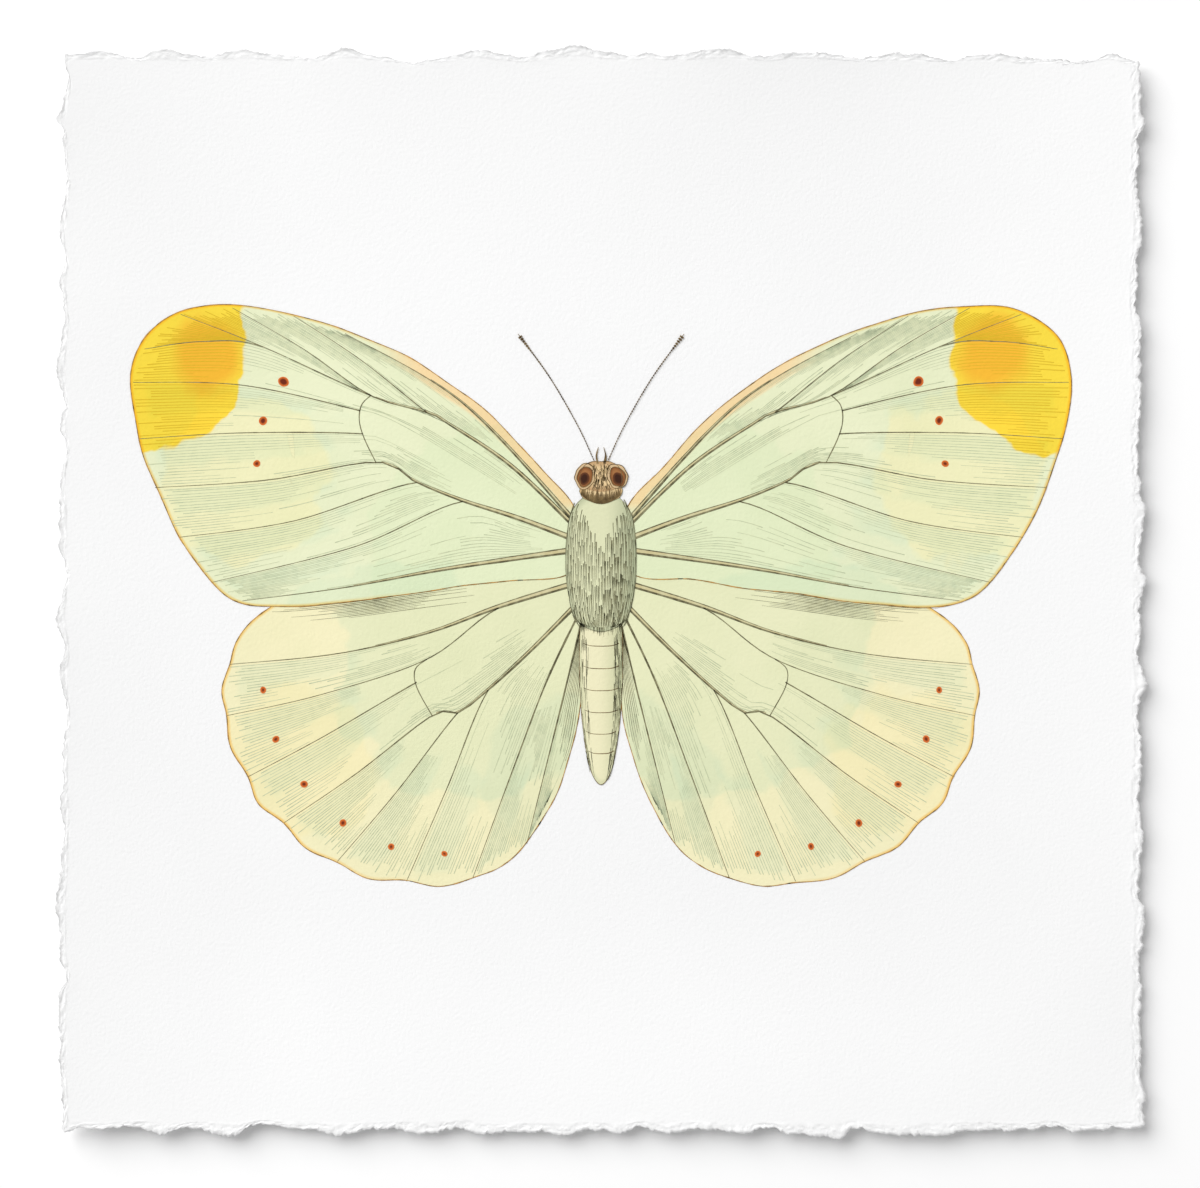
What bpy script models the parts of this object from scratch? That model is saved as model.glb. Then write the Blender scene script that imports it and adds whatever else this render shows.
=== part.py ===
"""A square sheet of handmade cotton paper with four deckle edges, made for an art print.

The sheet lies on its back with its picture side up (+Z) and the picture's top towards +Y.
Its middle lies flat. Its margins lift a little, as heavy cotton paper does when it dries,
and its four edges are torn: the face ends at a shoulder, and a thin fibrous lip runs on.
"""

import math

import bmesh
import bpy
from mathutils import Vector, noise

MM = 0.001

# Driving dimensions of the sheet
SHEET_WIDTH = 210.2 * MM
SHEET_HEIGHT = 209.6 * MM
PAPER_THICKNESS = 0.9 * MM
CORNER_RADIUS = 1.2 * MM

# The middle that lies flat, and how far the margins rise round it
FLAT_HALF = 60.0 * MM
EDGE_LIFT = 2.2 * MM
LIFT_POWER = 1.6
COCKLE_SHARE = 0.45
COCKLE_PERIOD = 60.0 * MM

# The torn lip, from the shoulder where the face ends out to the rim
LIP_UNDERSIDE = 0.10 * MM
LIP_THICKNESS = 0.50 * MM
LIP_MIDDLE_HEIGHT = 0.80 * MM
LIP_LUMPS = 0.12 * MM
LUMP_PERIOD = 3.0 * MM
LIP_LEAST_WIDTH = 0.6 * MM
SHOULDER_WANDER = 0.35 * MM
WANDER_PERIOD = 9.0 * MM
FRAY_LARGE = 0.45 * MM
FRAY_LARGE_PERIOD = 7.0 * MM
FRAY_SMALL = 0.30 * MM
FRAY_SMALL_PERIOD = 3.2 * MM

# The rings of points that the sheet is built from
RIM_POINTS = 440
INNER_POINTS = 220
MARGIN_INSETS = (12.0 * MM, 26.0 * MM, 46.0 * MM)
INSET_ROUNDNESS = (0.04, 0.12, 0.25)
UNDERSIDE_INSET = 1.5 * MM

HALF_WIDTH = SHEET_WIDTH / 2
HALF_HEIGHT = SHEET_HEIGHT / 2

# The crests and hollows of each torn edge, in millimetres: the place along the side,
# in X or in Y, and how far the edge stands out of its mean line there.
BOTTOM_TEAR = (
    (-104, -0.3), (-98, -0.4), (-91, -0.9), (-86, 0.3), (-79, -0.4), (-72, 0.8),
    (-67, -1.0), (-58, -0.4), (-51, 0.7), (-42.5, -0.3), (-34, 0.7), (-27, -0.4),
    (-23, 0.6), (-18, 0.0), (-8, 0.8), (0, -0.4), (3.5, 0.5), (7, -0.9), (12, 0.4),
    (20, -0.4), (29, 0.5), (32, -0.4), (40, 0.7), (45.5, 1.2), (50, -0.2), (56, 0.7),
    (66, 1.0), (73, -0.5), (80, 0.2), (89, -0.9), (93, 0.2), (100, -0.8),
)
RIGHT_TEAR = (
    (-98.5, 0.7), (-94, 0.3), (-84, -0.1), (-77, 0.4), (-72.5, -0.4), (-65, 1.2),
    (-59, -0.3), (-52, 0.1), (-45, 0.2), (-40, -0.5), (-32.5, 0.3), (-23, -0.4),
    (-17.5, 0.6), (-12, -0.2), (-7, 0.3), (-4.5, -0.2), (3, 0.9), (6.5, -0.4),
    (12, 0.4), (16, 0.9), (19, -0.1), (28.5, -0.6), (39, 0.3), (43.5, -0.1),
    (51, 0.3), (56, -0.9), (66, -0.5), (68.5, 0.3), (74, 0.3), (76.5, -0.4),
    (81, -0.7), (88, -0.3), (91.5, 0.4), (97, 0.0), (102.5, -0.7),
)
TOP_TEAR = (
    (-103, -0.4), (-98, 0.7), (-91.5, -0.7), (-85, 1.0), (-77, -0.4), (-70, 1.1),
    (-57, -0.7), (-49.5, 1.3), (-43, -0.3), (-35.5, -1.3), (-23, 0.9), (-16, -0.2),
    (-6, 1.6), (6.5, -0.2), (10, 0.7), (13, -0.2), (24, 1.0), (30, -0.3), (40, 0.5),
    (52, -0.6), (58, 0.7), (68, -1.0), (75, 0.4), (83, -0.6), (95, -1.1), (99.5, 0.1),
    (104.5, -1.6),
)
LEFT_TEAR = (
    (-97.5, -0.3), (-89, 0.3), (-78.5, 0.5), (-75.5, -0.9), (-70, 0.3), (-60, 0.9),
    (-53, 0.3), (-46.5, -0.4), (-43, 0.4), (-31, -0.4), (-23, -0.8), (-15, 0.2),
    (-11.5, -0.4), (-5.5, 0.9), (3.5, -0.9), (10, 0.5), (22, 0.3), (28.5, -0.9),
    (32.5, 0.4), (36.5, -0.5), (42.5, 0.9), (48, 0.1), (54.5, -0.6), (61, 0.2),
    (64, -0.6), (70, 0.2), (79, -0.9), (90, -0.5), (92, 0.7), (95.5, -0.6),
    (100, -1.5), (103.5, -0.9),
)

# The four sides in the order that they follow one another, counter-clockwise seen from
# above. Each one's travel is the next one's outward direction. The lip is wider along
# the bottom and the right than along the top and the left.
SIDES = (
    {"tear": BOTTOM_TEAR, "outward": Vector((0, -1)), "travel": Vector((1, 0)),
     "reach": HALF_HEIGHT, "half": HALF_WIDTH, "shoulder": 1.75 * MM},
    {"tear": RIGHT_TEAR, "outward": Vector((1, 0)), "travel": Vector((0, 1)),
     "reach": HALF_WIDTH, "half": HALF_HEIGHT, "shoulder": 1.75 * MM},
    {"tear": TOP_TEAR, "outward": Vector((0, 1)), "travel": Vector((-1, 0)),
     "reach": HALF_HEIGHT, "half": HALF_WIDTH, "shoulder": 1.2 * MM},
    {"tear": LEFT_TEAR, "outward": Vector((-1, 0)), "travel": Vector((0, -1)),
     "reach": HALF_WIDTH, "half": HALF_HEIGHT, "shoulder": 1.2 * MM},
)


def ripple(point, period, seed=0.0):
    """Smooth unevenness between about -1 and 1, with features of about this period."""
    return noise.noise(Vector((point.x / period, point.y / period, seed))) * 1.6


def tear_at(side, point):
    """How far the torn edge stands out of its mean line beside this point."""
    crests = side["tear"]
    place = point.dot(Vector((abs(side["travel"].x), abs(side["travel"].y)))) / MM
    if place <= crests[0][0]:
        return crests[0][1] * MM
    for (start, low), (end, high) in zip(crests, crests[1:]):
        if place <= end:
            ease = (1 - math.cos(math.pi * (place - start) / (end - start))) / 2
            return (low + (high - low) * ease) * MM
    return crests[-1][1] * MM


def mean_edge(share):
    """The point this share of the way round the sheet's mean outline.

    Gives the point, the direction out of the sheet there, the tear's departure from the
    mean line as a vector, and the shoulder's distance inside it.
    """
    arc = CORNER_RADIUS * math.pi / 2
    around = sum(2 * (side["half"] - CORNER_RADIUS) + arc for side in SIDES)
    way = (share % 1.0) * around
    for side, after in zip(SIDES, SIDES[1:] + SIDES[:1]):
        straight = 2 * (side["half"] - CORNER_RADIUS)
        if way <= straight:
            along = way - straight / 2
            point = side["outward"] * side["reach"] + side["travel"] * along
            tear = side["outward"] * tear_at(side, point)
            return point, side["outward"], tear, side["shoulder"]
        way -= straight
        if way <= arc:
            turn = way / CORNER_RADIUS
            blend = way / arc
            first, second = side["outward"] * math.cos(turn), side["travel"] * math.sin(turn)
            centre = (side["outward"] * (side["reach"] - CORNER_RADIUS)
                      + side["travel"] * (side["half"] - CORNER_RADIUS))
            point = centre + (first + second) * CORNER_RADIUS
            tear = first * tear_at(side, point) + second * tear_at(after, point)
            shoulder = side["shoulder"] * (1 - blend) + after["shoulder"] * blend
            return point, first + second, tear, shoulder
        way -= arc
    return mean_edge(0.0)


def inward(point, inset):
    """The same point of an outline that is smaller by this much all round."""
    return Vector((point.x * (1 - inset / HALF_WIDTH), point.y * (1 - inset / HALF_HEIGHT)))


def lift_at(point):
    """How high the back of the sheet stands over the surface it lies on."""
    over_x = max(abs(point.x) - FLAT_HALF, 0.0) / (HALF_WIDTH - FLAT_HALF)
    over_y = max(abs(point.y) - FLAT_HALF, 0.0) / (HALF_HEIGHT - FLAT_HALF)
    cockle = 1 + COCKLE_SHARE * ripple(point, COCKLE_PERIOD, seed=3.0)
    return EDGE_LIFT * math.hypot(over_x, over_y) ** LIFT_POWER * cockle


def rim_at(share):
    """The outermost point of the torn lip, and the shoulder's point behind it."""
    point, outward, tear, shoulder = mean_edge(share)
    fray = (FRAY_LARGE * ripple(point, FRAY_LARGE_PERIOD, seed=1.0)
            + FRAY_SMALL * ripple(point, FRAY_SMALL_PERIOD, seed=2.0))
    wander = SHOULDER_WANDER * ripple(point, WANDER_PERIOD, seed=4.0)
    depart = tear.dot(outward)
    inset = max(shoulder + wander - 0.25 * depart, LIP_LEAST_WIDTH - depart - fray)
    return point + tear + outward * fray, inward(point, inset)


def inner_at(share, inset, roundness):
    """A point of a ring well inside the sheet, rounder than the sheet's own outline."""
    square = inward(mean_edge(share)[0], inset)
    circle = square.normalized() * (min(HALF_WIDTH, HALF_HEIGHT) - inset)
    return square.lerp(circle, roundness)


def on_sheet(point, height):
    """A point in plan, set this high above the back of the sheet."""
    return Vector((point.x, point.y, lift_at(point) + height))


def rim_under(share):
    return on_sheet(rim_at(share)[0], LIP_UNDERSIDE)


def rim_top(share):
    return on_sheet(rim_at(share)[0], LIP_UNDERSIDE + LIP_THICKNESS)


def lip_middle(share):
    rim, shoulder = rim_at(share)
    middle = (rim + shoulder) / 2
    lumps = LIP_LUMPS * ripple(middle, LUMP_PERIOD, seed=5.0)
    return on_sheet(middle, LIP_MIDDLE_HEIGHT + lumps)


def face_shoulder(share):
    return on_sheet(rim_at(share)[1], PAPER_THICKNESS)


def back_shoulder(share):
    point, outward, tear, _ = mean_edge(share)
    return on_sheet(inward(point, UNDERSIDE_INSET - tear.dot(outward)), 0.0)


def margin_ring(inset, roundness, height):
    """The rule for a ring of the face or of the back, this far in from the edge."""
    return lambda share: on_sheet(inner_at(share, inset, roundness), height)


def add_ring(bm, count, place):
    """A closed ring of edges, with a point at each equal share of the way round."""
    verts = bmesh.ops.create_circle(bm, segments=count, radius=1.0)["verts"]
    for index, vert in enumerate(verts):
        vert.co = place(index / count)
    return list(dict.fromkeys(edge for vert in verts for edge in vert.link_edges))


def paper_material():
    material = bpy.data.materials.new("cotton_paper")
    material.use_nodes = True
    shader = material.node_tree.nodes["Principled BSDF"]
    shader.inputs["Base Color"].default_value = (0.92, 0.92, 0.90, 1.0)
    shader.inputs["Roughness"].default_value = 0.95
    shader.inputs["Metallic"].default_value = 0.0
    return material


def make_paper_sheet(collection):
    """The sheet, bridged ring by ring from the middle of its back to that of its face."""
    bm = bmesh.new()
    back = [add_ring(bm, INNER_POINTS, margin_ring(inset, roundness, 0.0))
            for inset, roundness in zip(MARGIN_INSETS, INSET_ROUNDNESS)]
    face = [add_ring(bm, INNER_POINTS, margin_ring(inset, roundness, PAPER_THICKNESS))
            for inset, roundness in zip(MARGIN_INSETS, INSET_ROUNDNESS)]
    edge = [add_ring(bm, RIM_POINTS, place)
            for place in (back_shoulder, rim_under, rim_top, lip_middle, face_shoulder)]
    rings = back[::-1] + edge + face
    for ring, following in zip(rings, rings[1:]):
        bmesh.ops.bridge_loops(bm, edges=ring + following)
    for middle in (rings[0], rings[-1]):
        bmesh.ops.edgeloop_fill(bm, edges=middle)
    bmesh.ops.recalc_face_normals(bm, faces=bm.faces)

    mesh = bpy.data.meshes.new("paper_sheet")
    bm.to_mesh(mesh)
    bm.free()
    mesh.shade_smooth()
    mesh.set_sharp_from_angle(angle=math.radians(30))
    mesh.materials.append(paper_material())
    collection.objects.link(bpy.data.objects.new("paper_sheet", mesh))


def main():
    for old in list(bpy.data.objects):
        bpy.data.objects.remove(old, do_unlink=True)
    collection = bpy.data.collections.new("deckle_edged_art_print")
    bpy.context.scene.collection.children.link(collection)
    make_paper_sheet(collection)


main()
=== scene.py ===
import math
import random

import bmesh
import bpy
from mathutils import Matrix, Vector, noise
from mathutils.geometry import interpolate_bezier


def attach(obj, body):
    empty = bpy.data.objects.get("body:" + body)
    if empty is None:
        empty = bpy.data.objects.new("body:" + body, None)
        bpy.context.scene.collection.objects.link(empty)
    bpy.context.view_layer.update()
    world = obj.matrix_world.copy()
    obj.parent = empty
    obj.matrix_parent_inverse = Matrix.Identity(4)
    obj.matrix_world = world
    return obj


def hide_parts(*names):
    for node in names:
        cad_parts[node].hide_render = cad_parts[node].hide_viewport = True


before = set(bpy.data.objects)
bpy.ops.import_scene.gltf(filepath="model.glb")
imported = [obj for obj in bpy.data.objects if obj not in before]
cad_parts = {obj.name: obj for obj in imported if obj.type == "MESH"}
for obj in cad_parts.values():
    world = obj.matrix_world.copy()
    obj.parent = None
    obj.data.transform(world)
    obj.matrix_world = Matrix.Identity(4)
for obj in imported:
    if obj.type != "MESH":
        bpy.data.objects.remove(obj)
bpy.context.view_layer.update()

# Handmade paper sheet
# A square of thick cotton rag paper, dried loose so that its margins lift a little. Its
# four edges were left as the mould's deckle made them: the face ends at a shoulder, and a
# thin lip of matted fibre runs on to a frayed rim.
MM = 0.001
SHEET_WIDTH = 210.2 * MM
SHEET_HEIGHT = 209.6 * MM
PAPER_THICKNESS = 0.9 * MM
CORNER_RADIUS = 1.2 * MM
HALF_WIDTH = SHEET_WIDTH / 2
HALF_HEIGHT = SHEET_HEIGHT / 2

FLAT_HALF = 60.0 * MM
EDGE_LIFT = 2.2 * MM
LIFT_POWER = 1.6
COCKLE_SHARE = 0.45
COCKLE_PERIOD = 60.0 * MM

LIP_UNDERSIDE = 0.10 * MM
LIP_THICKNESS = 0.45 * MM
RIM_ROUND_REACH = 0.2
LIP_LEAST_WIDTH = 0.6 * MM
SHOULDER_WANDER = 0.35 * MM
WANDER_PERIOD = 9.0 * MM
# How far each size of fraying reaches on the widest lip, and its period along the rim
FRAYS = ((0.42 * MM, 7.0 * MM), (0.30 * MM, 3.2 * MM), (0.27 * MM, 1.6 * MM),
         (0.20 * MM, 0.8 * MM), (0.12 * MM, 0.45 * MM))
WIDEST_LIP = 1.75 * MM
# The lumps of fibre on the lip, by height and period. They are longer along the edge.
LUMPS = ((0.06 * MM, 2.2 * MM), (0.07 * MM, 1.1 * MM), (0.08 * MM, 0.6 * MM),
         (0.04 * MM, 0.4 * MM))
LUMP_STRETCH = 1.9
LIP_DROP = 0.04 * MM
# A ridge runs along just outside the shoulder, which follows the tear by a part of its way
SHOULDER_RIDGE = 0.04 * MM
RIDGE_PLACE = 0.88
RIDGE_REACH = 0.10
RIDGE_PERIOD = 5 * MM
SHOULDER_FOLLOWS = 0.25
# Painted shade on the lip, from its rim to its shoulder, where 1 is darkest: a grey line at
# the rim and a faint one in the crease by the shoulder. It is strongest at the left and the
# top, the sides that face the light, and it comes and goes along the rim.
LIP_PAINTED_SHADE = (1.0, 1.0, 0.8, 0.40, 0.17, 0.11, 0.09, 0.09, 0.11, 0.16, 0.30, 0.16, 0.0)
# The painted shade's least share, on the sides away from the light, and how it comes and goes
# along the rim
PAINTED_SHADE_LEAST = 0.2
PAINTED_SHADE_MEAN = 0.85
PAINTED_SHADE_SWING = 0.6
PAINTED_SHADE_FLOOR = 0.40
PAINTED_SHADE_PERIOD = 2.5 * MM

RIM_POINTS = 4400
LIP_RINGS = len(LIP_PAINTED_SHADE) - 1
MIDDLE_POINTS = 720
SHOULDER_ROUNDING = 0.2 * MM
FACE_INSETS = tuple(inset * MM for inset in (4, 7, 10, 14, 18, 22, 26, 30, 35, 40, 46))
FACE_ROUNDNESS = (0.0, 0.01, 0.02, 0.04, 0.06, 0.09, 0.12, 0.15, 0.18, 0.21, 0.25)

# The crests and hollows of each torn edge, in millimetres: the place along the side,
# in X or in Y, and how far the edge stands out of its mean line there.
BOTTOM_TEAR = (
    (-104, -0.3), (-98, -0.4), (-91, -0.9), (-86, 0.3), (-79, -0.4), (-72, 0.8),
    (-67, -1.0), (-58, -0.4), (-51, 0.7), (-42.5, -0.3), (-34, 0.7), (-27, -0.4),
    (-23, 0.6), (-18, 0.0), (-8, 0.8), (0, -0.4), (3.5, 0.5), (7, -0.9), (12, 0.4),
    (20, -0.4), (29, 0.5), (32, -0.4), (40, 0.7), (45.5, 1.2), (50, -0.2), (56, 0.7),
    (66, 1.0), (73, -0.5), (80, 0.2), (89, -0.9), (93, 0.2), (100, -0.8),
)
RIGHT_TEAR = (
    (-98.5, 0.7), (-94, 0.3), (-84, -0.1), (-77, 0.4), (-72.5, -0.4), (-65, 1.2),
    (-59, -0.3), (-52, 0.1), (-45, 0.2), (-40, -0.5), (-32.5, 0.3), (-23, -0.4),
    (-17.5, 0.6), (-12, -0.2), (-7, 0.3), (-4.5, -0.2), (3, 0.9), (6.5, -0.4),
    (12, 0.4), (16, 0.9), (19, -0.1), (28.5, -0.6), (39, 0.3), (43.5, -0.1),
    (51, 0.3), (56, -0.9), (66, -0.5), (68.5, 0.3), (74, 0.3), (76.5, -0.4),
    (81, -0.7), (88, -0.3), (91.5, 0.4), (97, 0.0), (102.5, -0.7),
)
TOP_TEAR = (
    (-103, -0.4), (-98, 0.7), (-91.5, -0.7), (-85, 1.0), (-77, -0.4), (-70, 1.1),
    (-57, -0.7), (-49.5, 1.3), (-43, -0.3), (-35.5, -1.3), (-23, 0.9), (-16, -0.2),
    (-6, 1.6), (6.5, -0.2), (10, 0.7), (13, -0.2), (24, 1.0), (30, -0.3), (40, 0.5),
    (52, -0.6), (58, 0.7), (68, -1.0), (75, 0.4), (83, -0.6), (95, -1.1), (99.5, 0.1),
    (104.5, -1.6),
)
LEFT_TEAR = (
    (-97.5, -0.3), (-89, 0.3), (-78.5, 0.5), (-75.5, -0.9), (-70, 0.3), (-60, 0.9),
    (-53, 0.3), (-46.5, -0.4), (-43, 0.4), (-31, -0.4), (-23, -0.8), (-15, 0.2),
    (-11.5, -0.4), (-5.5, 0.9), (3.5, -0.9), (10, 0.5), (22, 0.3), (28.5, -0.9),
    (32.5, 0.4), (36.5, -0.5), (42.5, 0.9), (48, 0.1), (54.5, -0.6), (61, 0.2),
    (64, -0.6), (70, 0.2), (79, -0.9), (90, -0.5), (92, 0.7), (95.5, -0.6),
    (100, -1.5), (103.5, -0.9),
)
SIDES = (
    {"tear": BOTTOM_TEAR, "outward": Vector((0, -1)), "travel": Vector((1, 0)),
     "reach": HALF_HEIGHT, "half": HALF_WIDTH, "shoulder": WIDEST_LIP},
    {"tear": RIGHT_TEAR, "outward": Vector((1, 0)), "travel": Vector((0, 1)),
     "reach": HALF_WIDTH, "half": HALF_HEIGHT, "shoulder": WIDEST_LIP},
    {"tear": TOP_TEAR, "outward": Vector((0, 1)), "travel": Vector((-1, 0)),
     "reach": HALF_HEIGHT, "half": HALF_WIDTH, "shoulder": 1.2 * MM},
    {"tear": LEFT_TEAR, "outward": Vector((-1, 0)), "travel": Vector((0, -1)),
     "reach": HALF_WIDTH, "half": HALF_HEIGHT, "shoulder": 1.2 * MM},
)


def uneven_at(x, y, z):
    """Smooth unevenness between about -1 and 1, with features of about 1 in size."""
    return noise.noise(Vector((x, y, z))) * 1.6


def ripple(point, period, seed=0.0):
    """Unevenness in plan, with features of about this period."""
    return uneven_at(point.x / period, point.y / period, seed)


def tear_at(side, point):
    """How far the torn edge stands out of its mean line beside this point."""
    crests = side["tear"]
    place = point.dot(Vector((abs(side["travel"].x), abs(side["travel"].y)))) / MM
    if place <= crests[0][0]:
        return crests[0][1] * MM
    for (start, low), (end, high) in zip(crests, crests[1:]):
        if place <= end:
            ease = (1 - math.cos(math.pi * (place - start) / (end - start))) / 2
            return (low + (high - low) * ease) * MM
    return crests[-1][1] * MM


def mean_edge(share):
    """The mean outline's point, outward direction, tear and shoulder, this far round."""
    arc = CORNER_RADIUS * math.pi / 2
    around = sum(2 * (side["half"] - CORNER_RADIUS) + arc for side in SIDES)
    way = (share % 1.0) * around
    for side, after in zip(SIDES, SIDES[1:] + SIDES[:1]):
        straight = 2 * (side["half"] - CORNER_RADIUS)
        if way <= straight:
            along = way - straight / 2
            point = side["outward"] * side["reach"] + side["travel"] * along
            tear = side["outward"] * tear_at(side, point)
            return point, side["outward"], tear, side["shoulder"]
        way -= straight
        if way <= arc:
            turn = way / CORNER_RADIUS
            blend = way / arc
            first, second = side["outward"] * math.cos(turn), side["travel"] * math.sin(turn)
            centre = (side["outward"] * (side["reach"] - CORNER_RADIUS)
                      + side["travel"] * (side["half"] - CORNER_RADIUS))
            point = centre + (first + second) * CORNER_RADIUS
            tear = first * tear_at(side, point) + second * tear_at(after, point)
            shoulder = side["shoulder"] * (1 - blend) + after["shoulder"] * blend
            return point, first + second, tear, shoulder
        way -= arc
    return mean_edge(0.0)


def inward(point, inset):
    """The same point of an outline that is smaller by this much all round."""
    return Vector((point.x * (1 - inset / HALF_WIDTH), point.y * (1 - inset / HALF_HEIGHT)))


def lift_at(point):
    """How high the back of the sheet stands over the surface it lies on."""
    over_x = max(abs(point.x) - FLAT_HALF, 0.0) / (HALF_WIDTH - FLAT_HALF)
    over_y = max(abs(point.y) - FLAT_HALF, 0.0) / (HALF_HEIGHT - FLAT_HALF)
    cockle = 1 + COCKLE_SHARE * ripple(point, COCKLE_PERIOD, seed=3.0)
    return EDGE_LIFT * math.hypot(over_x, over_y) ** LIFT_POWER * cockle


def on_sheet(point, height):
    """A point in plan, set this high above the back of the sheet."""
    return Vector((point.x, point.y, lift_at(point) + height))


def torn_edge(share):
    """The rim and the shoulder of the torn lip here, and how much painted shade greys the lip.
    """
    point, outward, tear, shoulder = mean_edge(share)
    fray = 0.0
    for seed, (reach, period) in enumerate(FRAYS, start=1):
        fray += reach * ripple(point, period, seed=float(seed)) * shoulder / WIDEST_LIP
    wander = SHOULDER_WANDER * ripple(point, WANDER_PERIOD, seed=4.0)
    depart = tear.dot(outward)
    inset = max(shoulder + wander - SHOULDER_FOLLOWS * depart,
                LIP_LEAST_WIDTH - depart - fray)
    # Painted shade: the lip greys most on the edges that face the light at the upper left, in
    # patches along the rim
    facing = min(max(outward.dot(Vector((-1, 1))), 0.0), 1.0)
    patchy = PAINTED_SHADE_MEAN + PAINTED_SHADE_SWING * ripple(point, PAINTED_SHADE_PERIOD, seed=9.0)
    lip_shade = (PAINTED_SHADE_LEAST + (1 - PAINTED_SHADE_LEAST) * facing) * min(max(patchy, PAINTED_SHADE_FLOOR), 1.0)
    return point + tear + outward * fray, inward(point, inset), lip_shade


def lip_height(rim, back, reach, turn):
    """The lip's top above the sheet's back: reach is 0 at the rim and 1 at the shoulder.

    Turn says how far round the sheet this is, as an angle.
    """
    height = PAPER_THICKNESS - LIP_DROP * (1 - reach)
    ridge = math.exp(-((reach - RIDGE_PLACE) / RIDGE_REACH) ** 2)
    wavy = ripple(rim.lerp(back, reach), RIDGE_PERIOD, seed=8.0)
    height += SHOULDER_RIDGE * ridge * (0.5 + 0.8 * wavy)
    across = (back - rim).length * reach
    for seed, (size, period) in enumerate(LUMPS):
        # The edge is rolled into a circle here, so that the lumps meet where it closes
        radius = (SHEET_WIDTH + SHEET_HEIGHT) / math.pi / (LUMP_STRETCH * period)
        lump = uneven_at(radius * math.cos(turn), radius * math.sin(turn),
                         across / period + 50 * seed)
        height += size * lump * (1 - reach ** 4)
    rim_top = LIP_UNDERSIDE + LIP_THICKNESS
    rounding = max(1 - reach / RIM_ROUND_REACH, 0.0) ** 2
    return height + (rim_top - height) * rounding


def add_ring(bm, spots):
    """A closed ring of edges through these spots."""
    ring = bmesh.ops.create_circle(bm, segments=len(spots), radius=1.0)["verts"]
    for vert, spot in zip(ring, spots):
        vert.co = spot
    return list(dict.fromkeys(edge for vert in ring for edge in vert.link_edges))


def add_band(bm, layers, rows, closed=True):
    """A band of faces through rows of spots, with each row's values for the layers."""
    count, last = len(rows[0][0]), len(rows) - 1
    across = count if closed else count - 1
    band = bmesh.ops.create_grid(bm, x_segments=across, y_segments=last, size=0.5)["verts"]
    for vert in band:
        column = round((vert.co.x + 0.5) * across) % count
        spots, *values = rows[round((vert.co.y + 0.5) * last)]
        vert.co = spots[column]
        for layer, value in zip(layers, values):
            vert[layer] = value[column]
    if closed:
        bmesh.ops.remove_doubles(bm, verts=band, dist=0.001 * MM)


def margin_spots(inset, roundness, count, height):
    """The spots of a ring well inside the sheet, rounder than its outline."""
    spots = []
    for index in range(count):
        square = inward(mean_edge(index / count)[0], inset)
        circle = square.normalized() * (min(HALF_WIDTH, HALF_HEIGHT) - inset)
        spots.append(on_sheet(square.lerp(circle, roundness), height))
    return spots


def noise_texture(nodes, links, place, scale, **settings):
    """Noise that stays in its place on the sheet. The settings are the node's own."""
    texture = nodes.new("ShaderNodeTexNoise")
    texture.inputs["Scale"].default_value = scale
    for setting, value in settings.items():
        texture.inputs[setting].default_value = value
    links.new(place.outputs["Object"], texture.inputs["Vector"])
    return texture.outputs["Fac"]


def two_tones(nodes, links, value, *stops):
    """A colour that runs from the first stop's to the second's, each with its value."""
    ramp = nodes.new("ShaderNodeValToRGB")
    for element, (position, colour) in zip(ramp.color_ramp.elements, stops):
        element.position = position
        element.color = colour
    links.new(value, ramp.inputs["Fac"])
    return ramp.outputs["Color"]


def mesh_value(nodes, name):
    """A value that the mesh carries at its corners."""
    attribute = nodes.new("ShaderNodeAttribute")
    attribute.attribute_name = name
    return attribute.outputs["Fac"]


def glaze(nodes, links, under, tint, mask=None):
    """Another transparent coat of colour over what lies under it, all over or in a mask."""
    coat = nodes.new("ShaderNodeMixRGB")
    coat.blend_type = "MULTIPLY"
    coat.inputs["Fac"].default_value = 1.0
    if mask:
        links.new(mask, coat.inputs["Fac"])
    links.new(under, coat.inputs["Color1"])
    coat.inputs["Color2"].default_value = tint
    return coat.outputs["Color"]


def paper_tooth(material):
    """Give a material the paper's matt finish and its cold-pressed tooth."""
    material.use_nodes = True
    nodes, links = material.node_tree.nodes, material.node_tree.links
    shader = nodes["Principled BSDF"]
    shader.inputs["Roughness"].default_value = 0.92
    shader.inputs["Specular IOR Level"].default_value = 0.25
    place = nodes.new("ShaderNodeTexCoord")
    bump = nodes.new("ShaderNodeBump")
    bump.inputs["Strength"].default_value = 1.0
    bump.inputs["Distance"].default_value = 0.065 * MM
    links.new(noise_texture(nodes, links, place, 1600.0, Detail=2.0, Roughness=0.55),
              bump.inputs["Height"])
    links.new(bump.outputs["Normal"], shader.inputs["Normal"])
    return nodes, links, shader, place, bump


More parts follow.
